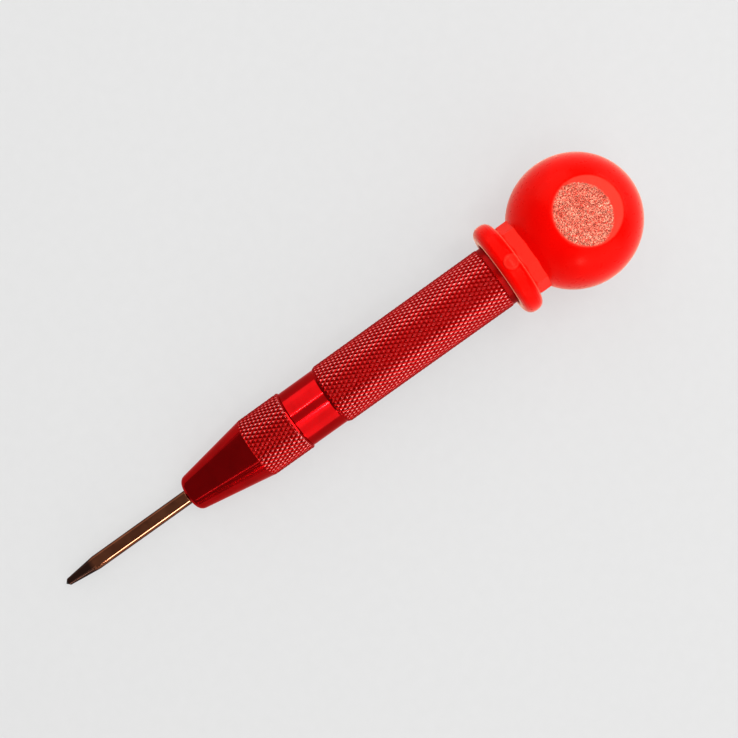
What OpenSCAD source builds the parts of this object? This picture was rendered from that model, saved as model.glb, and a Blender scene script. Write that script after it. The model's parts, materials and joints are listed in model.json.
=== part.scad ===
// Spring-loaded automatic centre punch with a plastic ball cap, lying on a bench.
// Units are millimetres. Each sub-part is drawn about the tool's own axis with the
// apex of the point at the origin and the ball towards +Z, and then laid down.

/* [Point] */
// Diameter of the steel point
point_d = 3; // [2.8:0.1:3]
// Length of the slender ground taper, from the apex to the full shank
taper_len = 7.6; // [5:0.1:12]
// Diameter where the short end cone meets the slender taper
end_cone_d = 1.48; // [1:0.02:2]
// Length of the short end cone
end_cone_len = 0.75; // [0.5:0.05:1.2]
// Length of point that stands out of the nose
point_reach = 31.4; // [25:0.1:36]
// Diameter of the thicker rear part of the point, which the nose guides
point_body_d = 3.8; // [3.5:0.1:4]

/* [Grip] */
// Diameter over the knurled bands
grip_d = 13; // [13:0.1:15]
// Diameter of the smooth neck between the two knurled bands
neck_d = 12.3; // [11.8:0.1:12.6]
// Length of the nose sleeve
nose_len = 26.3; // [25.5:0.1:27]
// Length of the knurled band on the nose sleeve
nose_band_len = 10.2; // [7:0.1:11]
// Length of the smooth neck
neck_len = 7.8; // [6:0.1:9]
// Length of the knurled band on the barrel
barrel_band_len = 40.7; // [39:0.1:42]

/* [Ball cap] */
// Diameter of the ball
ball_d = 26.4; // [26:0.1:32]
// Distance of each flat from the ball's centre
flat_dist = 11.3; // [10.8:0.1:12]
// Angle that each flat leans towards the rear
flat_lean = 7.3; // [0:0.1:10]
// Diameter of the flange
flange_d = 19.8; // [18:0.1:22]
// Thickness of the flange
flange_len = 4.1; // [3.8:0.1:4.4]
// Diameter of the groove between the flange and the ball
groove_d = 15.4; // [15:0.1:17]

/* [Action] */
// Travel of the point from rest to the trip position
stroke = 9; // [6:0.1:9]
// Sideways offset of the joint pin's rear end at rest
pin_offset = 0.65; // [0.5:0.05:0.7]
// Bore of the barrel
bore_d = 8.8; // [8.6:0.1:8.9]
// Wire diameter of the main spring
spring_wire_d = 1; // [0.8:0.1:1]
// Coils in the main spring
spring_turns = 12; // [8:1:14]

/* [Hidden] */
$fn = 96;
eps = 0.01;

// Clearances and interferences
running = 0.05;
loose = 0.2;
press = 0.01;
gap = 0.1;
edge = 0.4;
band_chamfer = 0.9;
undercut = 0.25;
undercut_len = 0.3;

// Radii
point_r = point_d / 2;
point_body_r = point_body_d / 2;
grip_r = grip_d / 2;
neck_r = neck_d / 2;
bore_r = bore_d / 2;
ball_r = ball_d / 2;
flange_r = flange_d / 2;
groove_r = groove_d / 2;
chamber_r = 3.3;
front_thread_r = 5;
rear_thread_r = 5.4;
plain_band_r = grip_r - 0.3;

// Nose sleeve stations
nose_front = point_reach;
nose_rear = nose_front + nose_len;
nose_band_front = nose_rear - nose_band_len;
nose_cone_rear = nose_band_front - 0.8;
nose_tip_r = 3.85;
nose_round = 1.2;
nose_cone_r = grip_r - 0.25;
chamber_front = nose_front + 11.1;
spigot_front = chamber_front + 7.1;

// Barrel stations
neck_rear = nose_rear + neck_len;
barrel_band_rear = neck_rear + barrel_band_len;
barrel_shoulder = barrel_band_rear + 3.8;
barrel_rear = barrel_shoulder + 12;
bush_front = nose_rear + 0.8;
bush_rear = bush_front + 3.9;
bush_throat = bush_front + 2;
bush_throat_r = 3;

// Point stations: the shank ends in an undercut in front of a step just outside the nose
point_step = nose_front - gap;
shank_rear = point_step - undercut_len;

// Point holder and joint pin stations
holder_r = 3;
holder_front = chamber_front + gap;
holder_rear = holder_front + 5.4;
point_end = holder_front + 3;
socket_floor = point_end + 0.8;
socket_r = 1.6;
pin_foot_r = 1;
pin_foot_len = 2.2;
pin_stem_r = 1;
pivot = socket_floor + gap + pin_foot_r;
pin_collar_r = 2.8;
pin_collar_front = holder_rear + 0.6;
pin_collar_rear = pin_collar_front + 1.8;

// Hammer, main spring and seat stations
hammer_front = bush_rear + gap;
hammer_shoulder = hammer_front + 16;
hammer_rear = hammer_shoulder + 3.5;
hammer_r = bore_r - loose;
hammer_bore_r = 1.25;
hammer_bore_len = 12.5;
pin_rear = hammer_front - 0.15;
boss_r = 2.6;
seat_front = barrel_rear - 3;
seat_rear = seat_front + 2.5;
seat_boss_front = seat_front - 3.5;
seat_stem_r = 2.2;
main_spring_r = bore_r - loose - loose - spring_wire_d / 2;
return_wire_r = 0.25;
return_front_r = 2.1;
return_rear_r = 1.65;
return_turns = 5;

// Adjusting cap and ball cap stations
cap_r = grip_r - 0.3;
cap_front = barrel_shoulder + 1;
cap_floor = barrel_rear + 4;
cap_rear = cap_floor + 4.5;
flange_front = cap_front - 4.6;
flange_rear = flange_front + flange_len;
flange_edge = 1.8;
ball_z = flange_rear + 13.5;
entrance_r = grip_r + 0.3;

// Resting pose: the tool touches the bench with the front of the nose band and with the
// front edge of the lower flat, so its axis climbs towards the ball.
flat_edge_angle = acos(flat_dist / ball_r) - flat_lean;
rest_front_z = nose_band_front;
rest_rear_z = ball_z - ball_r * sin(flat_edge_angle);
rest_rear_r = ball_r * cos(flat_edge_angle);
tilt = atan((rest_rear_r - grip_r) / (rest_rear_z - rest_front_z));
lift = grip_r * cos(tilt) - rest_front_z * sin(tilt);
half_len = (ball_z * cos(tilt) + ball_r) / 2;
pin_lean = asin(pin_offset / (pin_rear - pivot));

// Lays a tool drawn along +Z down on the bench, centred on the origin.
module laid_down() {
    translate([-half_len, 0, lift])
        rotate([0, 90 - tilt, 0])
            children();
}

// A turned solid from an outline of [radius, station] points.
module turned(outline) {
    rotate_extrude()
        polygon(outline);
}

// A round bar with equal chamfers on its two ends.
module bar(r, from, to, chamfer = 0) {
    turned([
        [0, from], [r - chamfer, from], [r, from + chamfer],
        [r, to - chamfer], [r - chamfer, to], [0, to]
    ]);
}

// A round hole that runs a little past both of its stations.
module hole(r, from, to) {
    translate([0, 0, from - eps])
        cylinder(r = r, h = to - from + 2 * eps);
}

// A disc whose rim is rounded on both edges.
module rounded_disc(r, from, to, round_r) {
    rotate_extrude() {
        translate([0, from])
            square([r - round_r, to - from]);
        translate([0, from + round_r])
            square([r, to - from - 2 * round_r]);
        for (station = [from + round_r, to - round_r])
            translate([r - round_r, station])
                circle(round_r);
    }
}

// A coil spring of round wire between two stations, whose radius may change along it.
module coil(from, to, front_r, rear_r, wire_r, turns) {
    sides = 6;
    steps = turns * 24;
    start = from + wire_r;
    rise = to - from - 2 * wire_r;
    points = [
        for (i = [0:steps])
            let (share = i / steps)
            let (turn = 360 * turns * share)
            let (coil_r = front_r + (rear_r - front_r) * share)
            for (k = [0:sides - 1])
                let (out = coil_r + wire_r * cos(360 * k / sides))
                let (up = wire_r * sin(360 * k / sides))
                [out * cos(turn), out * sin(turn), start + rise * share + up]
    ];
    skin = [
        for (i = [0:steps - 1])
            for (k = [0:sides - 1])
                let (next = (k + 1) % sides)
                [i * sides + k, (i + 1) * sides + k, (i + 1) * sides + next, i * sides + next]
    ];
    front_end = [for (k = [0:sides - 1]) k];
    rear_end = [for (k = [sides - 1:-1:0]) steps * sides + k];
    polyhedron(points, concat(skin, [front_end], [rear_end]), convexity = 10);
}

// Puts the joint pin and its spring in their leaning rest position.
module leaning() {
    translate([0, 0, pivot])
        rotate([0, -pin_lean, 0])
            translate([0, 0, -pivot])
                children();
}

// Hardened steel point: end cone, slender ground taper, straight shank and guided rear part.
module punch_point() {
    color("gainsboro")
        laid_down()
            turned([
                [0, 0], [end_cone_d / 2, end_cone_len], [point_r, taper_len],
                [point_r, shank_rear], [point_r - undercut, shank_rear],
                [point_r - undercut, point_step], [point_body_r, point_step],
                [point_body_r, point_end], [0, point_end]
            ]);
}

// Steel holder that the point is pressed into, with a socket for the joint pin behind.
module point_holder() {
    color("silver")
        laid_down()
            difference() {
                bar(holder_r, holder_front, holder_rear, edge);
                hole(point_body_r - press, holder_front, point_end);
                hole(socket_r, socket_floor, holder_rear);
            }
}

// Steel joint pin: a cross-wise round foot that rocks in the holder's socket, a collar and a stem.
module joint_pin() {
    color("darkgray")
        laid_down()
            leaning()
                union() {
                    translate([0, pin_foot_len / 2, pivot])
                        rotate([90, 0, 0])
                            cylinder(r = pin_foot_r, h = pin_foot_len);
                    bar(pin_stem_r, pivot, pin_collar_front + eps);
                    bar(pin_collar_r, pin_collar_front, pin_collar_rear, 0.3);
                    bar(pin_stem_r, pin_collar_rear - eps, pin_rear, 0.1);
                }
}

// Light cone-shaped spring that stands on the joint pin's collar.
module return_spring() {
    color("lightsteelblue")
        laid_down()
            leaning()
                coil(pin_collar_rear, pin_rear, return_front_r, return_rear_r, return_wire_r, return_turns);
}

// Hammer: a steel slug with a bore that the joint pin drops into and a boss for the spring.
module hammer() {
    color("slategray")
        laid_down()
            difference() {
                union() {
                    bar(hammer_r, hammer_front, hammer_shoulder, edge);
                    bar(boss_r, hammer_shoulder - edge, hammer_rear, edge);
                }
                hole(hammer_bore_r, hammer_front, hammer_front + hammer_bore_len);
            }
}

// Main compression spring between the hammer and the spring seat.
module main_spring() {
    color("lightslategray")
        laid_down()
            coil(hammer_shoulder, seat_front, main_spring_r, main_spring_r, spring_wire_d / 2, spring_turns);
}

// Spring seat: a disc with a boss inside the spring and a stem that the cap pushes on.
module spring_seat() {
    color("lightgray")
        laid_down()
            union() {
                bar(boss_r, seat_boss_front, seat_front + edge, edge);
                bar(hammer_r, seat_front, seat_rear, edge);
                bar(seat_stem_r, seat_rear - edge, cap_floor - running, edge);
            }
}

// Hardened bush pressed into the barrel; its tapered mouth brings the joint pin on centre.
module centring_bush() {
    color("dimgray")
        laid_down()
            turned([
                [chamber_r, bush_front], [bore_r + press, bush_front], [bore_r + press, bush_rear],
                [bush_throat_r, bush_rear], [bush_throat_r, bush_throat]
            ]);
}

// Outer outline of the nose sleeve: rounded front, cone, knurled band and rear chamfer.
module nose_outline() {
    polygon([
        [0, nose_front], [nose_tip_r - nose_round, nose_front],
        [nose_tip_r - nose_round, nose_front + nose_round], [nose_tip_r, nose_front + nose_round],
        [nose_cone_r, nose_cone_rear], [grip_r, nose_band_front],
        [grip_r, nose_rear - edge], [grip_r - edge, nose_rear], [0, nose_rear]
    ]);
    translate([nose_tip_r - nose_round, nose_front + nose_round])
        circle(nose_round);
}

// Nose sleeve: guides the point and screws onto the front of the barrel.
module nose_sleeve() {
    color("firebrick")
        laid_down()
            difference() {
                rotate_extrude()
                    nose_outline();
                hole(point_body_r + running, nose_front, chamber_front);
                hole(chamber_r, chamber_front, spigot_front);
                hole(front_thread_r, spigot_front - gap, nose_rear);
            }
}

// Barrel: threaded spigot, smooth neck, knurled grip, plain band and rear thread.
module barrel() {
    color("firebrick")
        laid_down()
            difference() {
                union() {
                    bar(front_thread_r - running, spigot_front, nose_rear + edge, edge);
                    turned([
                        [0, nose_rear], [neck_r - edge / 2, nose_rear], [neck_r, nose_rear + edge / 2],
                        [neck_r, neck_rear], [grip_r, neck_rear + band_chamfer],
                        [grip_r, barrel_band_rear], [plain_band_r, barrel_band_rear],
                        [plain_band_r, barrel_shoulder], [0, barrel_shoulder]
                    ]);
                    bar(rear_thread_r, barrel_shoulder - edge, barrel_rear, edge);
                }
                hole(chamber_r, spigot_front, bush_front);
                hole(bore_r, bush_front, barrel_rear);
            }
}

// Adjusting cap: a closed metal cap that screws on the barrel's rear thread.
module adjusting_cap() {
    color("darkred")
        laid_down()
            difference() {
                bar(cap_r, cap_front, cap_rear, edge);
                hole(rear_thread_r + running, cap_front, cap_floor);
            }
}

// One flat cut from the ball, on the tool's +X side and leaning to the rear.
module flat_cut() {
    translate([0, 0, ball_z])
        rotate([0, -flat_lean, 0])
            translate([flat_dist, -ball_r, -ball_r])
                cube([ball_r, ball_d, ball_d]);
}

// Ball cap: a plastic palm ball with a flange, a groove and two flats.
module ball_cap() {
    color("orangered")
        laid_down()
            difference() {
                union() {
                    translate([0, 0, ball_z])
                        sphere(ball_r);
                    bar(groove_r, flange_front + flange_edge, ball_z);
                    rounded_disc(flange_r, flange_front, flange_rear, flange_edge);
                }
                hole(entrance_r, flange_front, cap_front);
                hole(cap_r - press, cap_front, cap_rear);
                flat_cut();
                mirror([1, 0, 0])
                    flat_cut();
            }
}

punch_point();
point_holder();
joint_pin();
return_spring();
hammer();
main_spring();
spring_seat();
centring_bush();
nose_sleeve();
barrel();
adjusting_cap();
ball_cap();
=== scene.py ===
"""Looks of an automatic centre punch: steel point, knurled red grip and a plastic palm ball.

Turned pieces are drawn in tool coordinates. A station runs along the tool's own axis from the
apex of the point, and a radius runs out from that axis, both in millimetres.
"""
import json
import math

import bpy
import numpy as np
from mathutils import Matrix


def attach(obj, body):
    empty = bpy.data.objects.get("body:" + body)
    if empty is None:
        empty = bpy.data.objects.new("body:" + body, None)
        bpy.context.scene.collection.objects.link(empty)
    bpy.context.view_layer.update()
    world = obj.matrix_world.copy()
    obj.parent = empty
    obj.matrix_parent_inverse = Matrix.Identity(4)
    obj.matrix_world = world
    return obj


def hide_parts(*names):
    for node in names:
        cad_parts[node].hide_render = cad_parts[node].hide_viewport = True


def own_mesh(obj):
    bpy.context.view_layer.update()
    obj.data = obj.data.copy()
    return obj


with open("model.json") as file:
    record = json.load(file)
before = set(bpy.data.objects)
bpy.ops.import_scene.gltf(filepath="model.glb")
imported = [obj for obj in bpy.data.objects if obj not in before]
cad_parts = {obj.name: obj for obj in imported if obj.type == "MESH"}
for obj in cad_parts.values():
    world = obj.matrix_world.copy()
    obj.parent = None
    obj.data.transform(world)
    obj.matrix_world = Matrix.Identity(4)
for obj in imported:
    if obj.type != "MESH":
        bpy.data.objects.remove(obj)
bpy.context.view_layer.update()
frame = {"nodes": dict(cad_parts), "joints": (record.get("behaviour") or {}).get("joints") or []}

MM = 0.001
TINY = 1e-3  # less than this, in mm, two stations or radii count as the same
NIL = 1e-6  # less than this, in mm, is no length at all


# ------------------------------------------------------------ tool coordinates

def joint(name):
    """The record's joint of that name."""
    return next(j for j in frame["joints"] if j["name"] == name)


ALONG = np.array(joint("point_slide")["axis"])
ALONG = ALONG / np.linalg.norm(ALONG)
UP = np.array((-ALONG[2], 0.0, ALONG[0]))
SIDE = np.cross(ALONG, UP)
ON_AXIS = np.array(joint("pin_tilt")["pos_m"])


def vertices(node):
    """A CAD node's vertices, in the row frame."""
    mesh = frame["nodes"][node].data
    co = np.zeros(len(mesh.vertices) * 3)
    mesh.vertices.foreach_get("co", co)
    return co.reshape(-1, 3)


APEX = ON_AXIS + ALONG * ((vertices("punch_point") - ON_AXIS) @ ALONG).min()
PIVOT = (ON_AXIS - APEX) @ ALONG / MM


def span(node):
    """Front station, rear station and largest radius of a CAD node."""
    from_apex = vertices(node) - APEX
    station = from_apex @ ALONG
    radius = np.linalg.norm(from_apex - np.outer(station, ALONG), axis=1)
    return station.min() / MM, station.max() / MM, radius.max() / MM


def to_row(points):
    """Points (up, side, station) of the tool in the row frame, in metres."""
    return APEX + (points * MM) @ np.array((UP, SIDE, ALONG))


# ------------------------------------------------------------ sizes, in millimetres

NOSE_FRONT, NOSE_REAR, GRIP_R = span("nose_sleeve")
BARREL_FRONT, BARREL_REAR, _ = span("barrel")
_, POINT_END, POINT_BODY_R = span("punch_point")
BALL_FRONT, _, _ = span("ball_cap")
CAP_FRONT, CAP_REAR, CAP_R = span("adjusting_cap")
SPRING_FRONT, SPRING_REAR, SPRING_R = span("main_spring")
BUSH_FRONT = span("centring_bush")[0]

# All turned pieces
ARC_STEPS = 5
HOLD = 0.05  # how far from a corner the row lies that makes a straight run shade straight
SHARP_ANGLE = math.radians(35)

# Point
POINT_R = 1.5
END_CONE_LEN = 0.75
END_CONE_R = 0.74
TAPER_LEN = 7.6
TAPER_BLEND = 2.0
UNDERCUT = 0.25
UNDERCUT_LEN = 0.3
SHANK_REAR = 31.0
FINE_EDGE = 0.08
POINT_COLUMNS = 96

# Knurl
KNURL_STARTS = 44
KNURL_STEPS = 6  # mesh columns and rows for each groove
KNURL_LEAD = 1.6612
KNURL_DEPTH = 0.21
KNURL_CREST = 0.7  # share of the way to a diamond's middle at which its flat top starts
COLUMNS = KNURL_STARTS * KNURL_STEPS
ROW = KNURL_LEAD / KNURL_STEPS
SMOOTH = 0.6  # the crest value that marks a surface with no knurl
MATT = SMOOTH / 2  # the crest value of a plain surface as matt as the knurl, which also gets the knurl's darker tone as painted shade
CHAMFER_WEAR_AND_GLINT = 0.85  # the crest value of a knurled band's rear chamfer, painted pale as wear and as painted highlight

# Nose sleeve
NOSE_TIP_R = 3.7
NOSE_ROUND = 1.35
NOSE_BORE_R = 1.95
NOSE_KNURL_FRONT = NOSE_REAR - 9.8
NOSE_BAND_FRONT = NOSE_REAR - 9.6
NOSE_CHAMFER = 0.45
NOSE_CHAMFER_ROW = NOSE_CHAMFER / 8
CHAMBER_FRONT = NOSE_FRONT + 11.1
CHAMBER_R = 3.3
SOCKET_FRONT = NOSE_REAR - 8.2
SOCKET_R = 5.0

# Barrel
SPIGOT_R = 4.95
NECK_R = 6.15
NECK_REAR = NOSE_REAR + 7.95
BAND_CHAMFER = 0.9
BAND_REAR = NECK_REAR + 39.6
PLAIN_R = GRIP_R - 0.15
SHOULDER = NECK_REAR + 44.35
REAR_THREAD_R = 5.4
THREAD_PITCH = 1.0
THREAD_DEPTH = THREAD_PITCH / 2
THREAD_GROOVE = 0.8  # share of the pitch that the groove takes
THREAD_ROW = THREAD_PITCH / 6
THREAD_NEAR = 0.01  # how close to the crest's radius an outline has to be to get the thread
BORE_R = 4.4
EDGE = 0.4

# Ball cap
BALL_R = 13.18
FLAT_DIST = 11.3
FLAT_LEAN = math.radians(7.3)
FLAT_R = math.sqrt(BALL_R ** 2 - FLAT_DIST ** 2)
FLAT_EDGE = 0.2
LEAST_FACING = 0.2  # cosines of the angles between a flat's normal and places on the ball
CLEARLY_FACING = 0.5
GRAIN_EDGE = 0.5
GRAIN_SHIFT = 1.95  # how far towards the front the grained patch lies on its flat
FLANGE_R = 9.9
FLANGE_LEN = 4.1
FLANGE_ROUND = 1.8
FLANGE_REAR = BALL_FRONT + FLANGE_LEN
FLANGE_RIM = 1.2
FLANGE_ROW = 0.13
GROOVE_APOTHEM = 7.62
GROOVE_SIDES = 12
ENTRANCE_R = GRIP_R + 0.3
FACETED_R = CAP_R + 0.5  # wider than this, what lies behind the flange is faceted
BALL_STATION = FLANGE_REAR + 13.5
BALL_COLUMNS = 384
BALL_ROWS = 160
COLUMN_WARP = 0.35  # draws the columns together on top and below, where the flats are
GATE_STATION = BALL_FRONT + 2.6
GATE_SIDE = -0.6
GATE_R = 1.5
GATE_RING_R = 1.1
GATE_SOFT = 0.1
GATE_HEIGHT = 0.12
GATE_DEEP = 2.5  # how far in from the flange's rim the mark may reach

# How much paler the ball is, from 0 to 1: on the groove's facets, and as painted highlight on the gate mark
# and on the flats
GROOVE_PALE = 0.27
GATE_HIGHLIGHT = 0.15
FLAT_HIGHLIGHT = 0.28

# Springs
MAIN_WIRE_R = 0.5
MAIN_TURNS = 12
RETURN_FRONT = PIVOT + 2.9
RETURN_REAR = PIVOT + 14.85
RETURN_RADII = (2.1, 1.65)
RETURN_WIRE_R = 0.25
RETURN_TURNS = 5
PIN_OFFSET = 0.65
COIL_SIDES = 12
COIL_STEPS = 48


# ------------------------------------------------------------ outlines

def arc(corner, before, after, radius):
    """Points of the arc that rounds a corner between its two neighbours."""
    back = before - corner
    ahead = after - corner
    back = back / np.linalg.norm(back)
    ahead = ahead / np.linalg.norm(ahead)
    half = math.acos(np.clip(back @ ahead, -1, 1)) / 2
    middle = (back + ahead) / np.linalg.norm(back + ahead)
    centre = corner + middle * radius / math.sin(half)
    start = corner + back * radius / math.tan(half) - centre
    end = corner + ahead * radius / math.tan(half) - centre
    turn = math.pi - 2 * half
    shares = np.linspace(0, 1, ARC_STEPS + 1)
    return [
        centre + (math.sin((1 - s) * turn) * start + math.sin(s * turn) * end) / math.sin(turn)
        for s in shares
    ]


def outline(corners):
    """Outline through (station, radius, fillet) corners, each rounded to its fillet."""
    points = []
    for i, (station, radius, fillet) in enumerate(corners):
        corner = np.array((station, radius))
        if not fillet:
            points.append(corner)
            continue
        before = np.array(corners[i - 1][:2])
        after = np.array(corners[(i + 1) % len(corners)][:2])
        points += arc(corner, before, after, fillet)
    return held(np.array(points))


def held(points):
    """The outline with a row close to each end of its straight runs, so that they shade straight."""
    made = []
    for a, b in zip(points, points[1:]):
        made.append(a)
        length = np.linalg.norm(b - a)
        if length > 4 * HOLD:
            made += [a + (b - a) * HOLD / length, b - (b - a) * HOLD / length]
    return np.array(made + [points[-1]])


def refined(points, front, rear, step, least_r):
    """The outline with extra rows at each step between two stations, outside a least radius."""
    marks = np.arange(front, rear + step / 2, step)
    made = []
    for a, b in zip(points, np.roll(points, -1, axis=0)):
        made.append(a)
        low, high = sorted((a[0], b[0]))
        if high - low > NIL and min(a[1], b[1]) >= least_r:
            inside = marks[(marks > low + TINY) & (marks < high - TINY)]
            made += [a + (b - a) * s for s in np.sort((inside - a[0]) / (b[0] - a[0]))]
    return np.array(made)


# ------------------------------------------------------------ relief

def smooth(low, high, x):
    """Rises smoothly from 0 at low to 1 at high."""
    t = np.clip((x - low) / (high - low), 0, 1)
    return t * t * (3 - 2 * t)


def tooth(x):
    """0 on each whole number and 1 half-way between them."""
    return 1 - np.abs(2 * (x % 1) - 1)


def families(station, angle, front):
    """How far a place is through the two families of knurl grooves, in grooves."""
    around = KNURL_STARTS * angle / (2 * math.pi)
    along = (station - front) / KNURL_LEAD
    return around + along, around - along


def knurled(front, rear, chamfer=0.0):
    """Cuts a diamond knurl into the grip's radius between two stations, and paints its rear chamfer pale,
    as wear and as painted highlight.

    A relief gives each place its new radius and its crest value, 0 in a groove and 1 on a diamond.
    """
    def relief(station, angle, radius):
        first, second = families(station, angle, front)
        crest = np.minimum(1, np.minimum(tooth(first), tooth(second)) / KNURL_CREST)
        root = GRIP_R - KNURL_DEPTH * (1 - crest)
        within = (station > front - TINY) & (station < rear + TINY)
        cut = within & (radius > NECK_R) & (root < radius)
        tops = within & (radius > GRIP_R - TINY)
        edge = cut & (station > rear - chamfer)
        crest = np.where(cut | tops, crest, SMOOTH)
        return np.where(cut, root, radius), np.where(edge, CHAMFER_WEAR_AND_GLINT, crest)
    return relief


def threaded(front, rear, crest_r):
    """Cuts a screw thread between two stations, fading in over one turn at each end."""
    def relief(station, angle, radius):
        wave = tooth(station / THREAD_PITCH - angle / (2 * math.pi))
        ends = np.minimum(station - front, rear - station) / THREAD_PITCH
        depth = THREAD_DEPTH * np.clip(ends, 0, 1) * np.clip(1 - wave / THREAD_GROOVE, 0, 1)
        outer = np.abs(radius - crest_r) < THREAD_NEAR
        return np.where(outer, radius - depth, radius), np.full_like(radius, SMOOTH)
    return relief


def matt(front, rear, least_r):
    """Marks a band between two stations as matt and darker, the darkening being painted shade from the
    flange, without cutting it.
    """
    def relief(station, angle, radius):
        inside = (station > front) & (station < rear + TINY) & (radius > least_r)
        return radius, np.where(inside, MATT, SMOOTH)
    return relief


def plain(station, angle, radius):
    """No relief."""
    return radius, np.full_like(radius, SMOOTH)


def both(first, second):
    """One relief after another. The second one's crest values count where it has any."""
    def relief(station, angle, radius):
        radius, crest = first(station, angle, radius)
        radius, other = second(station, angle, radius)
        return radius, np.where(other != SMOOTH, other, crest)
    return relief


# ------------------------------------------------------------ meshes

def make_mesh(name, co, faces, **attributes):
    """A piece from row-frame points, with its sharp edges kept and a value for each point."""
    mesh = bpy.data.meshes.new(name)
    mesh.from_pydata(co.tolist(), [], faces.tolist())
    mesh.polygons.foreach_set("use_smooth", [True] * len(mesh.polygons))
    mesh.set_sharp_from_angle(angle=SHARP_ANGLE)
    for key, values in attributes.items():
        attribute = mesh.attributes.new(key, "FLOAT", "POINT")
        attribute.data.foreach_set("value", values.astype(np.float32))
    piece = bpy.data.objects.new(name, mesh)
    bpy.context.scene.collection.objects.link(piece)
    return piece


def grid_faces(first_row, last_row, columns, wrap_rows, across):
    """Triangles between rows of points. across says which diagonal splits each cell."""
    i, j = np.meshgrid(np.arange(first_row, last_row), np.arange(columns), indexing="ij")
    following = (j + 1) % columns
    above = (i + 1) % wrap_rows
    a = i * columns + j
    b = above * columns + j
    c = above * columns + following
    d = i * columns + following
    across = across[..., None]
    one = np.where(across, np.stack((a, d, b), -1), np.stack((a, c, b), -1))
    two = np.where(across, np.stack((b, d, c), -1), np.stack((a, d, c), -1))
    return np.concatenate((one.reshape(-1, 3), two.reshape(-1, 3)))


def pole_faces(centre, row, columns, front):
    """A fan of triangles from a point on the axis to a row."""
    j = np.arange(columns)
    here = row * columns + j
    following = row * columns + (j + 1) % columns
    pair = (following, here) if front else (here, following)
    return np.stack((np.full(columns, centre), *pair), -1)


def lathe(name, points, relief=plain, knurl_front=0.0, columns=COLUMNS):
    """A turned piece. An outline that starts on the axis is closed there by a point at each end.

    Each cell is split along the knurl groove that runs nearer to its middle.
    """
    solid = points[0][1] < NIL
    rows = points[1:-1] if solid else points
    angles = np.arange(columns) * 2 * math.pi / columns
    station, angle = np.meshgrid(rows[:, 0], angles, indexing="ij")
    radius, crest = relief(station, angle, np.repeat(rows[:, 1:], columns, axis=1))
    tool = np.stack((radius * np.cos(angle), radius * np.sin(angle), station), -1)
    tool = tool.reshape(-1, 3)
    crest = crest.ravel()
    count = len(rows)
    last = count - 1 if solid else count
    middle = (station + np.roll(station, -1, axis=0))[:last] / 2
    ahead = angle[:last] + math.pi / columns
    near = [np.abs(2 * u - np.round(2 * u)) for u in families(middle, ahead, knurl_front)]
    faces = [grid_faces(0, last, columns, count, near[0] < near[1])]
    if solid:
        tool = np.vstack((tool, (0, 0, points[0][0]), (0, 0, points[-1][0])))
        crest = np.append(crest, (SMOOTH, SMOOTH))
        faces.append(pole_faces(count * columns, 0, columns, True))
        faces.append(pole_faces(count * columns + 1, count - 1, columns, False))
    knurl = (crest != SMOOTH).astype(float)
    return make_mesh(name, to_row(tool), np.concatenate(faces), crest=crest, knurl=knurl)


def dress(piece, body, node, material):
    """Puts a piece in place of its CAD node, on that node's body."""
    piece.data.materials.append(material)
    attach(piece, body)
    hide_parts(node)


# ------------------------------------------------------------ turned pieces

def make_point():
    """The hardened point, its fine edges broken."""
    corners = [
        (0, 0, 0), (END_CONE_LEN, END_CONE_R, FINE_EDGE), (TAPER_LEN, POINT_R, TAPER_BLEND),
        (SHANK_REAR, POINT_R, FINE_EDGE), (SHANK_REAR, POINT_R - UNDERCUT, 0),
        (SHANK_REAR + UNDERCUT_LEN, POINT_R - UNDERCUT, 0),
        (SHANK_REAR + UNDERCUT_LEN, POINT_BODY_R, 0), (POINT_END, POINT_BODY_R, 0.2),
        (POINT_END, 0, 0),
    ]
    return lathe("point", outline(corners), columns=POINT_COLUMNS)


def make_nose():
    """The nose sleeve: rounded front, cone and knurled band."""
    slope = (GRIP_R - NOSE_TIP_R) / (NOSE_BAND_FRONT - NOSE_FRONT)
    knurl_front_r = GRIP_R - slope * (NOSE_BAND_FRONT - NOSE_KNURL_FRONT)
    corners = [
        (NOSE_FRONT, NOSE_TIP_R, NOSE_ROUND),
        (NOSE_KNURL_FRONT, knurl_front_r, 0), (NOSE_BAND_FRONT, GRIP_R, 0),
        (NOSE_REAR - NOSE_CHAMFER, GRIP_R, 0), (NOSE_REAR, GRIP_R - NOSE_CHAMFER, 0),
        (NOSE_REAR, SOCKET_R, 0.3), (SOCKET_FRONT, SOCKET_R, 0), (SOCKET_FRONT, CHAMBER_R, 0.1),
        (CHAMBER_FRONT, CHAMBER_R, 0), (CHAMBER_FRONT, NOSE_BORE_R, 0.05),
        (NOSE_FRONT, NOSE_BORE_R, 0.15),
    ]
    rear = NOSE_REAR - NOSE_CHAMFER
    rows = refined(outline(corners), NOSE_KNURL_FRONT, rear, ROW, knurl_front_r)
    rows = refined(rows, rear, NOSE_REAR, NOSE_CHAMFER_ROW, GRIP_R - NOSE_CHAMFER - TINY)
    relief = knurled(NOSE_KNURL_FRONT, NOSE_REAR, NOSE_CHAMFER)
    return lathe("nose", rows, relief, NOSE_KNURL_FRONT)


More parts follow.
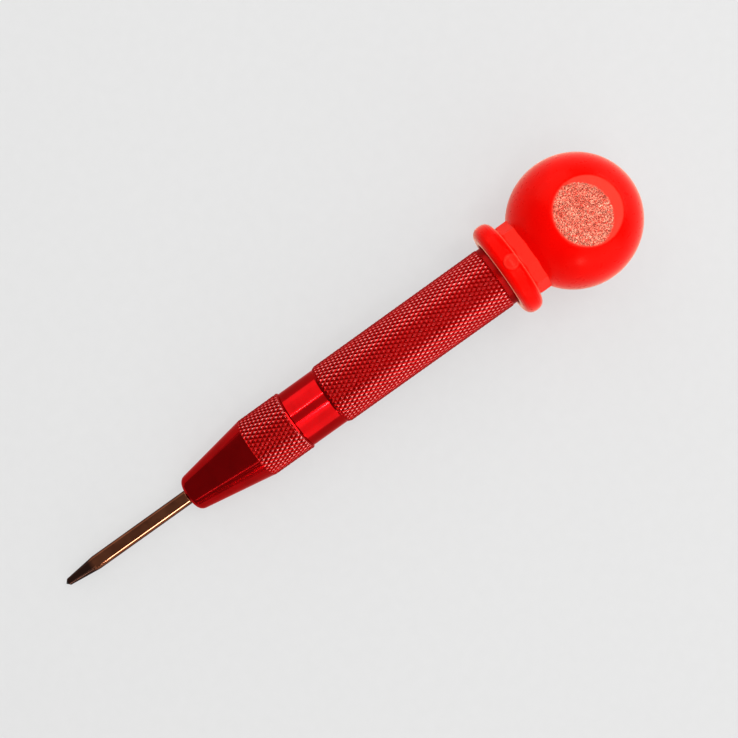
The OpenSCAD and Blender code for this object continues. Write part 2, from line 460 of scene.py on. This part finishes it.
def make_barrel():
    """The barrel: spigot, neck, long knurled band, plain band and rear thread."""
    corners = [
        (BARREL_FRONT, SPIGOT_R - EDGE, 0), (BARREL_FRONT + EDGE, SPIGOT_R, 0),
        (NOSE_REAR, SPIGOT_R, 0), (NOSE_REAR, NECK_R, 0.2),
        (NECK_REAR, NECK_R, 0.1), (NECK_REAR + BAND_CHAMFER, GRIP_R, 0),
        (BAND_REAR, GRIP_R, 0), (BAND_REAR, PLAIN_R, 0.05),
        (SHOULDER, PLAIN_R, 0.1), (SHOULDER, REAR_THREAD_R, 0),
        (BARREL_REAR - EDGE, REAR_THREAD_R, 0), (BARREL_REAR, REAR_THREAD_R - EDGE, 0),
        (BARREL_REAR, BORE_R, 0.1), (BUSH_FRONT, BORE_R, 0),
        (BUSH_FRONT, CHAMBER_R, 0), (BARREL_FRONT, CHAMBER_R, 0.1),
    ]
    rows = refined(outline(corners), NECK_REAR, BAND_REAR, ROW, NECK_R)
    rows = refined(rows, SHOULDER, BARREL_REAR - EDGE, THREAD_ROW, REAR_THREAD_R - THREAD_NEAR)
    rows = refined(rows, BARREL_FRONT + EDGE, NOSE_REAR, THREAD_ROW, SPIGOT_R - THREAD_NEAR)
    threads = both(
        threaded(SHOULDER, BARREL_REAR, REAR_THREAD_R),
        threaded(BARREL_FRONT, NOSE_REAR, SPIGOT_R),
    )
    # The plain band before the flange is darkened with painted shade.
    bands = both(knurled(NECK_REAR, BAND_REAR), matt(BAND_REAR, SHOULDER, NECK_R))
    relief = both(bands, threads)
    return lathe("grip", rows, relief, NECK_REAR)


# ------------------------------------------------------------ ball cap

def ball_rows():
    """Outline of the ball cap from the end of its bore round to its rear pole, and the ball's first row."""
    groove_end = BALL_STATION - math.sqrt(BALL_R ** 2 - GROOVE_APOTHEM ** 2)
    corners = [
        (CAP_REAR, 0, 0), (CAP_REAR, CAP_R, 0), (CAP_FRONT, CAP_R, 0),
        (CAP_FRONT, ENTRANCE_R, 0), (BALL_FRONT, ENTRANCE_R, 0.3),
        (BALL_FRONT, FLANGE_R, FLANGE_ROUND), (FLANGE_REAR, FLANGE_R, FLANGE_ROUND),
        (FLANGE_REAR, GROOVE_APOTHEM, 0.45), (groove_end, GROOVE_APOTHEM, 0),
    ]
    flange = outline(corners)
    flange = refined(flange, BALL_FRONT, FLANGE_REAR, FLANGE_ROW, FLANGE_R - FLANGE_RIM)
    start = math.asin(GROOVE_APOTHEM / BALL_R)
    polar = np.linspace(start, math.pi, BALL_ROWS)[1:]
    ball = np.stack((BALL_STATION - BALL_R * np.cos(polar), BALL_R * np.sin(polar)), -1)
    ball[-1, 1] = 0
    return np.vstack((flange, ball)), len(flange)


def faceted(radius, angle):
    """The groove's radius with flats milled round it, one of them on top."""
    half = math.pi / GROOVE_SIDES
    return radius / np.cos((angle + half) % (2 * half) - half)


def gate_mark(tool, station):
    """Height of the low round disc, with a ring on it, that the mould left on the flange's rim."""
    reach = np.hypot(tool[..., 2] - GATE_STATION, tool[..., 1] - GATE_SIDE)
    on_top = (tool[..., 0] > FLANGE_R / 2) & (station < FLANGE_REAR)
    disc = 1 - smooth(GATE_R - GATE_SOFT, GATE_R + GATE_SOFT, reach)
    ring = disc * smooth(GATE_RING_R - GATE_SOFT, GATE_RING_R + GATE_SOFT, reach)
    return np.where(on_top, GATE_HEIGHT * (disc + ring / 2), 0)


def cut_flats(tool):
    """Brings the ball's surface in to its two flats, and says where the flats and their grain are."""
    centre = np.array((0, 0, BALL_STATION))
    away = tool - centre
    reach = np.linalg.norm(away, axis=-1)
    away = away / reach[..., None]
    grain = np.zeros_like(reach)
    on_flat = np.zeros_like(reach)
    for sign in (1, -1):
        normal = np.array((sign * math.cos(FLAT_LEAN), 0, math.sin(FLAT_LEAN)))
        front = np.array((sign * math.sin(FLAT_LEAN), 0, -math.cos(FLAT_LEAN)))
        facing = away @ normal
        limit = FLAT_DIST / np.maximum(facing, LEAST_FACING)
        near = np.clip(1 - np.abs(reach - limit) / FLAT_EDGE, 0, 1)
        reach = np.minimum(reach, limit) - near ** 2 * FLAT_EDGE / 4
        x = reach * (away @ front)
        y = reach * away[..., 1]
        from_middle = np.where(facing > CLEARLY_FACING, np.hypot(x, y), BALL_R)
        from_both = np.maximum(from_middle, np.hypot(x - GRAIN_SHIFT, y))
        grain += 1 - smooth(FLAT_R - GRAIN_EDGE, FLAT_R - FLAT_EDGE, from_both)
        on_flat += 1 - smooth(FLAT_R - FLAT_EDGE, FLAT_R, from_middle)
    return centre + away * reach[..., None], grain, on_flat


def make_ball():
    """The plastic ball cap with its flange, faceted groove, flats and gate mark."""
    points, first_ball_row = ball_rows()
    rows = points[1:-1]
    even = np.arange(BALL_COLUMNS) * 2 * math.pi / BALL_COLUMNS
    angles = even - COLUMN_WARP / 2 * np.sin(2 * even)
    station, angle = np.meshgrid(rows[:, 0], angles, indexing="ij")
    radius = np.repeat(rows[:, 1:], BALL_COLUMNS, axis=1)
    first = first_ball_row - 1
    on_groove = (station > FLANGE_REAR - TINY) & (radius > FACETED_R)
    on_groove[first:] = False
    radius = np.where(on_groove & (radius < GROOVE_APOTHEM + TINY), faceted(radius, angle), radius)
    tool = np.stack((radius * np.cos(angle), radius * np.sin(angle), station), -1)
    raised = gate_mark(tool, station)
    tool[..., 0] += np.where(radius > FLANGE_R - GATE_DEEP, raised, 0)
    grain = np.zeros_like(radius)
    # Paler groove facets, and painted highlight on the gate mark.
    blush = GROOVE_PALE * on_groove + GATE_HIGHLIGHT * raised / GATE_HEIGHT
    tool[first:], grain[first:], on_flat = cut_flats(tool[first:])
    # Painted highlight over the flats, which face the flat light.
    blush[first:] = FLAT_HIGHLIGHT * on_flat
    count = len(rows)
    tool = tool.reshape(-1, 3)
    tool = np.vstack((tool, (0, 0, points[0][0]), (0, 0, points[-1][0])))
    grain = np.append(grain.ravel(), (0, 0))
    blush = np.append(blush.ravel(), (0, 0))
    across = np.zeros((count - 1, BALL_COLUMNS), bool)
    faces = np.concatenate((
        grid_faces(0, count - 1, BALL_COLUMNS, count, across),
        pole_faces(count * BALL_COLUMNS, 0, BALL_COLUMNS, True),
        pole_faces(count * BALL_COLUMNS + 1, count - 1, BALL_COLUMNS, False),
    ))
    return make_mesh("ball", to_row(tool), faces, grain=grain, blush=blush)


# ------------------------------------------------------------ springs

def make_coil(name, front, rear, radii, wire_r, turns, lean=0.0):
    """A compression spring with closed end turns, standing on the axis or leaning from the pivot."""
    t = np.linspace(0, turns, turns * COIL_STEPS + 1)
    closed = np.clip(t, 0, 1) + np.clip(t - turns + 1, 0, 1)
    open_rise = rear - front - 6 * wire_r
    rise = 2 * wire_r * closed + open_rise * ramp(t, 1, turns - 1)
    coil_r = radii[0] + (radii[1] - radii[0]) * t / turns
    turn = 2 * math.pi * t
    around = np.arange(COIL_SIDES) * 2 * math.pi / COIL_SIDES
    out = coil_r[:, None] + wire_r * np.cos(around)
    station = (front + wire_r + rise)[:, None] + wire_r * np.sin(around)
    tool = np.stack((out * np.cos(turn)[:, None], out * np.sin(turn)[:, None], station), -1)
    tool = lean_back(tool.reshape(-1, 3), lean)
    count = len(t)
    across = np.zeros((count - 1, COIL_SIDES), bool)
    faces = grid_faces(0, count - 1, COIL_SIDES, count, across)[:, ::-1]
    ends = [tool[:COIL_SIDES].mean(axis=0), tool[-COIL_SIDES:].mean(axis=0)]
    tool = np.vstack((tool, ends))
    faces = np.concatenate((
        faces,
        pole_faces(count * COIL_SIDES, 0, COIL_SIDES, False),
        pole_faces(count * COIL_SIDES + 1, count - 1, COIL_SIDES, True),
    ))
    return make_mesh(name, to_row(tool), faces)


def ramp(t, low, high):
    """Rises evenly from 0 at low to 1 at high."""
    return np.clip((t - low) / (high - low), 0, 1)


def lean_back(tool, lean):
    """Turns points about the joint pin's pivot, so that their rear end goes up."""
    up = tool[:, 0]
    behind = tool[:, 2] - PIVOT
    return np.stack((
        up * math.cos(lean) + behind * math.sin(lean),
        tool[:, 1],
        PIVOT + behind * math.cos(lean) - up * math.sin(lean),
    ), -1)


# ------------------------------------------------------------ materials

# The point is made darker over its taper.
DARK_TAPER = (0.10, 0.045, 0.03)
DARK_FADE = 1.2  # how far in front of the taper's rear end, in mm, the dark colour starts to fade
DARK_EDGE = (0.0, 0.0, 0.0, 1)
FILM_TINT = (1.0, 0.4, 0.4, 1)
SKIN_TINT = (1.0, 0.80, 0.60, 1)
HAZE_TINT = (1.0, 0.68, 0.48, 1)
PAPER = ((0.123, 0.123, 0.123, 1), (0.127, 0.127, 0.127, 1))
PAPER_GLOW = 3.37


def new_material(name):
    """A new material with its node tree and shader."""
    material = bpy.data.materials.new(name)
    material.use_nodes = True
    tree = material.node_tree
    return material, tree, tree.nodes["Principled BSDF"]


def add(tree, kind, inputs, **settings):
    """A shader node. Each input is a value or another node's output."""
    node = tree.nodes.new("ShaderNode" + kind)
    for key, value in settings.items():
        setattr(node, key, value)
    wire(tree, node, inputs)
    return node


def wire(tree, node, inputs):
    """Sets a node's inputs to values or to other nodes' outputs."""
    for key, value in inputs.items():
        if isinstance(value, bpy.types.NodeSocket):
            tree.links.new(value, node.inputs[key])
        else:
            node.inputs[key].default_value = value


def tool_coordinates(tree):
    """Tool coordinates (up, side, station) in millimetres at the shaded point."""
    place = add(tree, "TexCoord", {})
    turn = Matrix(np.array((UP, SIDE, ALONG)).T.tolist()).to_euler()
    mapping = add(tree, "Mapping", {
        "Vector": place.outputs["Object"],
        "Location": APEX.tolist(),
        "Rotation": turn,
        "Scale": (MM, MM, MM),
    }, vector_type="TEXTURE")
    return mapping.outputs["Vector"]


def noise(tree, place, scale, detail, distortion=0.0):
    """Even noise. The scale is in features for each millimetre."""
    return add(tree, "TexNoise", {
        "Vector": place, "Scale": scale, "Detail": detail, "Distortion": distortion,
    }).outputs["Fac"]


def part_of(tree, place, axis):
    """One of a place's tool coordinates: X is up, Y is to the side, Z is the station."""
    return add(tree, "SeparateXYZ", {"Vector": place}).outputs[axis]


def rings(tree, place, scale):
    """Noise that changes only along the tool, as turning marks do."""
    return add(tree, "TexNoise", {
        "W": part_of(tree, place, "Z"), "Scale": scale, "Detail": 4.0,
    }, noise_dimensions="1D").outputs["Fac"]


def ranged(tree, value, low, high, new_low=0, new_high=1):
    """A value moved from one range to another and kept inside it."""
    return add(tree, "MapRange", {
        "Value": value, "From Min": low, "From Max": high, "To Min": new_low, "To Max": new_high,
    }).outputs["Result"]


def maths(tree, operation, *values):
    """The result of an operation on one or two values."""
    inputs = dict(enumerate(values))
    return add(tree, "Math", inputs, operation=operation).outputs["Value"]


def mixed(tree, share, first, second):
    """A colour between two others."""
    node = add(tree, "Mix", {}, data_type="RGBA")
    sockets = {"Factor": node.inputs[0], "A": node.inputs[6], "B": node.inputs[7]}
    for key, value in (("Factor", share), ("A", first), ("B", second)):
        if isinstance(value, bpy.types.NodeSocket):
            tree.links.new(value, sockets[key])
        else:
            sockets[key].default_value = value
    return node.outputs[2]


def bump(tree, height, distance, normal=None):
    """A bump of that height in millimetres, on top of another one if it is given."""
    inputs = {"Height": height, "Distance": distance * MM, "Strength": 1.0}
    if normal is not None:
        inputs["Normal"] = normal
    return add(tree, "Bump", inputs).outputs["Normal"]


def stored(tree, name):
    """A value kept on the mesh's points."""
    return add(tree, "Attribute", {}, attribute_name=name).outputs["Fac"]


def clouded(tree, value, first, second):
    """A colour that drifts between two others with an even noise."""
    return mixed(tree, ranged(tree, value, 0.35, 0.65), (*first, 1), (*second, 1))


def darkened_taper(tree, place, tone):
    """A tone that turns darker over the point's ground taper."""
    off_taper = ranged(tree, part_of(tree, place, "Z"), TAPER_LEN - DARK_FADE, TAPER_LEN)
    return mixed(tree, off_taper, (*DARK_TAPER, 1), tone)


def steel(name, dark, light, rough, ring_scale, ring_height, oiled=False):
    """Bare steel with turning marks, faint staining and uneven polish. Only the point is oiled, and it is
    made darker over its taper.
    """
    material, tree, shader = new_material(name)
    place = tool_coordinates(tree)
    tone = clouded(tree, noise(tree, place, 0.35, 4.0, 0.6), dark, light)
    if oiled:
        tone = darkened_taper(tree, place, tone)
        wire(tree, shader, {
            "Specular Tint": DARK_EDGE, "Coat Weight": 0.4, "Coat Roughness": 0.03,
        })
    polish = ranged(tree, noise(tree, place, 1.2, 5.0), 0.3, 0.7, rough * 0.7, rough * 1.4)
    turned = bump(tree, rings(tree, place, ring_scale), ring_height)
    wire(tree, shader, {
        "Base Color": tone, "Metallic": 1.0, "Roughness": polish,
        "Normal": bump(tree, noise(tree, place, 9.0, 2.0), ring_height * 0.4, turned),
    })
    return material


def glint_bands(tree, place):
    """Where the grip's knurl tops are painted pale, partly as wear and partly as painted highlight: most
    along its two sides, least on top, in millimetres.
    """
    side = maths(tree, "ABSOLUTE", part_of(tree, place, "Y"))
    lit_sides = ranged(tree, side, 1.6, 3.4, 0.1, 1)
    dim_edge = ranged(tree, side, 5.2, 6.4, 1, 0.25)
    return maths(tree, "MULTIPLY", lit_sides, dim_edge)


def anodised(name, groove, deep, bright, worn_and_lit):
    """Red anodised aluminium: turning marks under a clear film, its knurl matt and darker, its tops rubbed
    pale and given painted highlight along the sides, and painted shade on the plain band.
    """
    material, tree, shader = new_material(name)
    place = tool_coordinates(tree)
    knurl = stored(tree, "knurl")
    tone = clouded(tree, noise(tree, place, 0.25, 4.0, 0.4), deep, bright)
    # The knurl's darker tone, which on the plain band before the flange is painted shade.
    tone = mixed(tree, knurl, tone, (*groove, 1))
    crest = ranged(tree, stored(tree, "crest"), 0.65, 0.95)
    scuffs = ranged(tree, noise(tree, place, 1.1, 5.0, 0.8), 0.35, 0.65, 0.55, 1.0)
    # The pale knurl tops are partly wear and partly painted highlight, strongest in the side bands.
    wear_and_glint = maths(tree, "MULTIPLY", maths(tree, "MULTIPLY", crest, scuffs), glint_bands(tree, place))
    tone = mixed(tree, wear_and_glint, tone, (*worn_and_lit, 1))
    polish = ranged(tree, noise(tree, place, 1.5, 5.0), 0.3, 0.7, 0.13, 0.18)
    rougher = ranged(tree, knurl, 0, 1, 0, 0.26)
    turned = bump(tree, rings(tree, place, 7.0), 0.001)
    wire(tree, shader, {
        "Base Color": tone, "Metallic": 1.0, "Roughness": maths(tree, "ADD", polish, rougher),
        "Normal": bump(tree, noise(tree, place, 14.0, 3.0), 0.0004, turned),
        "Specular Tint": FILM_TINT, "Coat Weight": 0.25, "Coat Roughness": 0.07,
    })
    return material


def wrinkled(tree, place, pale, flush, crease_shade):
    """The flats' leathery grain: how high it stands, and its colour, with painted shade in its creases."""
    folds = maths(tree, "SUBTRACT", noise(tree, place, 2.7, 2.0, 1.8), 0.5)
    ridge = ranged(tree, maths(tree, "ABSOLUTE", folds), 0.01, 0.08)
    patches = ranged(tree, noise(tree, place, 0.3, 4.0), 0.35, 0.6, 0.45, 1)
    flakes = ranged(tree, noise(tree, place, 3.6, 2.0, 0.8), 0.42, 0.56)
    tops = mixed(tree, maths(tree, "MULTIPLY", patches, flakes), (*flush, 1), (*pale, 1))
    return ridge, mixed(tree, ridge, (*crease_shade, 1), tops)


def plastic(name, deep, bright, pale, flush, crease_shade):
    """Moulded red plastic: satin, with a haze at its rim, a wrinkled grain on the flats with painted shade
    in its creases, paler groove facets, and painted highlight on the gate mark and flats.
    """
    material, tree, shader = new_material(name)
    place = tool_coordinates(tree)
    grain = stored(tree, "grain")
    tone = clouded(tree, noise(tree, place, 0.12, 3.0, 0.3), deep, bright)
    # Paler groove facets, and painted highlight on the gate mark and flats.
    tone = mixed(tree, stored(tree, "blush"), tone, (*flush, 1))
    ridge, grain_tone = wrinkled(tree, place, pale, flush, crease_shade)
    satin = ranged(tree, noise(tree, place, 0.8, 5.0), 0.3, 0.7, 0.26, 0.33)
    polish = add(tree, "Mix", {0: grain, 2: satin, 3: 0.5}, data_type="FLOAT").outputs[0]
    skin = bump(tree, noise(tree, place, 2.0, 1.0), 0.0015)
    wire(tree, shader, {
        "Base Color": mixed(tree, grain, tone, grain_tone), "Roughness": polish,
        "Normal": bump(tree, maths(tree, "MULTIPLY", ridge, grain), 0.06, skin),
        "Specular IOR Level": 0.15, "Specular Tint": SKIN_TINT,
        "Sheen Weight": 0.85, "Sheen Roughness": 0.28, "Sheen Tint": HAZE_TINT,
    })
    return material


def floor_material():
    """Pale matt paper with a fine fibre, lit a little from behind."""
    material, tree, shader = new_material("floor")
    place = add(tree, "TexCoord", {}).outputs["Object"]
    tone = mixed(tree, noise(tree, place, 400.0, 4.0), *PAPER)
    wire(tree, shader, {
        "Base Color": tone, "Roughness": 0.9, "Emission Color": tone, "Emission Strength": PAPER_GLOW,
    })
    return material


POINT_STEEL = steel(
    "point_steel", dark=(0.27, 0.105, 0.055), light=(0.36, 0.15, 0.08),
    rough=0.05, ring_scale=10.0, ring_height=0.0002, oiled=True,
)
MACHINED_STEEL = steel(
    "machined_steel", dark=(0.46, 0.46, 0.47), light=(0.60, 0.60, 0.61),
    rough=0.26, ring_scale=5.0, ring_height=0.006,
)
SPRING_STEEL = steel(
    "spring_steel", dark=(0.30, 0.31, 0.33), light=(0.42, 0.43, 0.45),
    rough=0.30, ring_scale=3.0, ring_height=0.002,
)
HARDENED_STEEL = steel(
    "hardened_steel", dark=(0.16, 0.16, 0.18), light=(0.28, 0.28, 0.30),
    rough=0.28, ring_scale=6.0, ring_height=0.004,
)
# The pale knurl-top colours below are partly wear and partly painted highlight.
RED_ANODISED = anodised(
    "red_anodised", groove=(0.33, 0.001, 0.001), deep=(0.40, 0.001, 0.003),
    bright=(0.47, 0.002, 0.005), worn_and_lit=(0.93, 0.46, 0.44),
)
CAP_METAL = anodised(
    "cap_metal", groove=(0.20, 0.004, 0.004), deep=(0.42, 0.010, 0.010),
    bright=(0.52, 0.020, 0.020), worn_and_lit=(0.80, 0.20, 0.18),
)
BALL_PLASTIC = plastic(
    "ball_plastic", deep=(0.67, 0.002, 0.0002), bright=(0.73, 0.003, 0.0004),
    pale=(0.98, 0.50, 0.37), flush=(0.90, 0.13, 0.09), crease_shade=(0.20, 0.03, 0.02),
)


def paint(node, material):
    """Gives a CAD node that stays in view a better material."""
    slots = frame["nodes"][node].data.materials
    for i in range(len(slots)):
        slots[i] = material


# ------------------------------------------------------------ pieces

dress(make_point(), "point", "punch_point", POINT_STEEL)
dress(make_nose(), "barrel", "nose_sleeve", RED_ANODISED)
dress(make_barrel(), "barrel", "barrel", RED_ANODISED)
dress(make_ball(), "cap", "ball_cap", BALL_PLASTIC)

return_coil = make_coil(
    "return_coil", RETURN_FRONT, RETURN_REAR, RETURN_RADII, RETURN_WIRE_R, RETURN_TURNS,
    lean=math.asin(PIN_OFFSET / (RETURN_REAR - PIVOT)),
)
dress(return_coil, "joint_pin", "return_spring", SPRING_STEEL)

MAIN_R = SPRING_R - MAIN_WIRE_R
main_coil = make_coil(
    "main_coil", SPRING_FRONT, SPRING_REAR, (MAIN_R, MAIN_R), MAIN_WIRE_R, MAIN_TURNS,
)
dress(main_coil, "barrel", "main_spring", SPRING_STEEL)
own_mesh(main_coil)

paint("point_holder", MACHINED_STEEL)
paint("joint_pin", MACHINED_STEEL)
paint("hammer", HARDENED_STEEL)
paint("spring_seat", MACHINED_STEEL)
paint("centring_bush", HARDENED_STEEL)
paint("adjusting_cap", CAP_METAL)


# ------------------------------------------------------------ studio, in metres

FLOOR_HALF = 4.0
LIGHT_DISTANCE = 0.6
LIGHT_FRONT = -0.21
LIGHT_REAR = 0.36
WORLD_LEVEL = 0.28

EYE = (0.00646, -0.00024, 0.2248)
TURN = math.radians(-35.55)
FOCAL_LENGTH = 53.66  # this and the sensor are in millimetres
SENSOR = 36.0
NEAREST = 0.01

# Softboxes beside the tool: name, side, the two angles from straight up, and brightness.
# The narrow ones draw the bright lines, and give their own front and rear ends.
SIDE_LIGHTS = (
    ("top_softbox", 1, -11, 22, 0.33),
    ("left_softbox", 1, 23, 44, 0.98),
    ("left_middle", 1, 44, 66, 1.0),
    ("left_skirt", 1, 66, 89, 1.15),
    ("left_edge", 1, 22.2, 23, 36.0, -0.2, -0.09),
    ("right_softbox", -1, 11, 36, 1.2),
    ("right_middle", -1, 36, 62, 1.0),
    ("right_skirt", -1, 62, 89, 1.1),
    ("right_edge", -1, 16, 20, 50.0, -0.122, -0.095),
    ("point_strip", -1, 68, 79, 11.0, -0.303, -0.21),
    ("taper_strip", -1, 74, 82, 4.0, -0.52, -0.45),
    ("cone_strip", -1, 48, 50.5, 1.9, -0.53, -0.37),
)


def make_floor():
    """A wide pale floor."""
    half = FLOOR_HALF
    corners = ((-half, -half, 0), (half, -half, 0), (half, half, 0), (-half, half, 0))
    mesh = bpy.data.meshes.new("floor")
    mesh.from_pydata(corners, [], [(0, 1, 2, 3)])
    mesh.materials.append(floor_material())
    floor = bpy.data.objects.new("floor", mesh)
    bpy.context.scene.collection.objects.link(floor)


def make_softbox(name, place, rotation, size, radiance):
    """A soft rectangular light."""
    light = bpy.data.lights.new(name, "AREA")
    light.shape = "RECTANGLE"
    light.size, light.size_y = size
    light.energy = radiance * math.pi * size[0] * size[1]
    box = bpy.data.objects.new(name, light)
    box.location = place
    box.rotation_euler = rotation
    box.visible_camera = False
    bpy.context.scene.collection.objects.link(box)


def side_softbox(name, side, near, far, radiance, front=LIGHT_FRONT, rear=LIGHT_REAR):
    """A softbox beside the tool, between two angles from straight up. side is +1 on the +Y side."""
    middle = math.radians(near + far) / 2 * side
    half = math.radians(far - near) / 2
    place = ((front + rear) / 2, LIGHT_DISTANCE * math.sin(middle), LIGHT_DISTANCE * math.cos(middle))
    size = (rear - front, 2 * LIGHT_DISTANCE * math.tan(half))
    make_softbox(name, place, (-middle, 0, 0), size, radiance)


def end_softbox(name, over, angle, width, depth, radiance):
    """A softbox leaning from straight above a place on the bench, towards +X for a positive angle."""
    angle = math.radians(angle)
    place = (over + LIGHT_DISTANCE * math.sin(angle), 0, LIGHT_DISTANCE * math.cos(angle))
    make_softbox(name, place, (0, angle, 0), (depth, width), radiance)


def make_world():
    """Even light from all round."""
    grey = (WORLD_LEVEL, WORLD_LEVEL, WORLD_LEVEL, 1)
    world = bpy.data.worlds.new("studio")
    world.use_nodes = True
    world.node_tree.nodes["Background"].inputs["Color"].default_value = grey
    bpy.context.scene.world = world


def make_camera():
    """The camera, straight above the bench and turned so that the tool points down to the left."""
    data = bpy.data.cameras.new("camera")
    data.lens = FOCAL_LENGTH
    data.sensor_width = SENSOR
    data.clip_start = NEAREST
    camera = bpy.data.objects.new("camera", data)
    camera.location = EYE
    camera.rotation_euler = (0, 0, TURN)
    bpy.context.scene.collection.objects.link(camera)
    bpy.context.scene.camera = camera


make_floor()
for light in SIDE_LIGHTS:
    side_softbox(*light)
end_softbox("flat_light", over=0.055, angle=20, width=0.3, depth=0.26, radiance=4.0)
end_softbox("rear_key", over=0.0, angle=70, width=0.6, depth=0.3, radiance=2.2)
make_world()
make_camera()
bpy.context.scene.view_settings.view_transform = "Standard"
bpy.context.scene.view_settings.look = "High Contrast"
